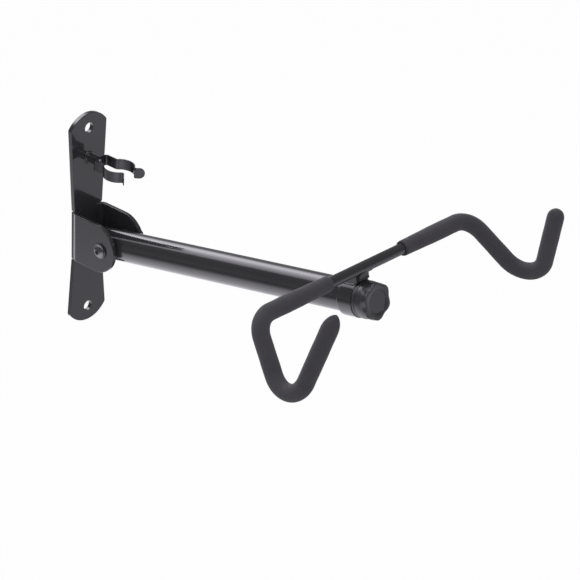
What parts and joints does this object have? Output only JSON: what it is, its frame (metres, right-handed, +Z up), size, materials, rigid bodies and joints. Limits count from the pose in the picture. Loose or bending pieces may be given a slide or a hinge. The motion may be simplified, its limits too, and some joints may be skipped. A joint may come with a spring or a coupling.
{
  "type": "bicycle wall rack",
  "caption": "Folding wall rack: a hinged arm on a bent wall plate carries a turning holder with two foam-covered hooks for a bicycle frame, clamped by a hand knob",
  "frame": {"origin": "midway between the two wall screw holes, on the back face of the plate, where it rests on the wall", "axes": "+Z is up, -Y points out of the wall into the room, +X is to the right of someone who faces the wall"},
  "size_m": [0.36, 0.4847, 0.2491],
  "materials": {
    "black_paint": "gloss black stoved paint",
    "clip_spring_steel": "satin blackened spring steel",
    "dark_fasteners": "black zinc plating",
    "bright_steel": "bright zinc plating",
    "nylon": "black moulded nylon",
    "friction_fibre": "pressed fibre",
    "knob_plastic": "satin moulded nylon",
    "foam": "matte closed-cell foam"
  },
  "bodies": {
    "wall_bracket": {"wall_plate": "black_paint", "clip_post": "black_paint", "tube_clip": "clip_spring_steel", "clip_screw": "dark_fasteners", "pivot_bolt": "dark_fasteners", "pivot_washers": "dark_fasteners", "pivot_nut": "dark_fasteners", "pivot_sleeve": "bright_steel"},
    "arm": {"pivot_bushes": "nylon", "arm_tube": "black_paint", "end_plug": "bright_steel", "clamp_stud": "bright_steel", "friction_ring": "friction_fibre"},
    "holder": {"holder_collar": "black_paint", "holder_neck": "black_paint", "cross_bar": "black_paint", "left_sleeve": "foam", "right_sleeve": "foam"},
    "knob_carrier": {"thrust_washer": "knob_plastic"},
    "knob": {"clamp_knob": "knob_plastic", "knob_nut": "bright_steel", "knob_cap": "knob_plastic"}
  },
  "joints": [
    {"name": "arm_fold", "type": "hinge", "parent": "wall_bracket", "child": "arm", "pos_m": [0, -0.045, -0.015], "axis": [-1, 0, 0], "range_deg": [0, 76.2], "deforming": ["tube_clip"]},
    {"name": "holder_turn", "type": "hinge", "parent": "arm", "child": "holder", "pos_m": [0, -0.37417, 0.05239], "axis": [0, -0.9797, 0.2006], "continuous": true},
    {"name": "knob_travel", "type": "slide", "parent": "arm", "child": "knob_carrier", "axis": [0, -0.9797, 0.2006], "range_m": [0, 0.003]},
    {"name": "knob_turn", "type": "hinge", "parent": "knob_carrier", "child": "knob", "pos_m": [0, -0.37417, 0.05239], "axis": [0, -0.9797, 0.2006], "range_deg": [0, 720]}
  ],
  "couplings": [
    {"joint": "knob_travel", "follows": "knob_turn", "m_per_rad": 0.00023873}
  ]
}
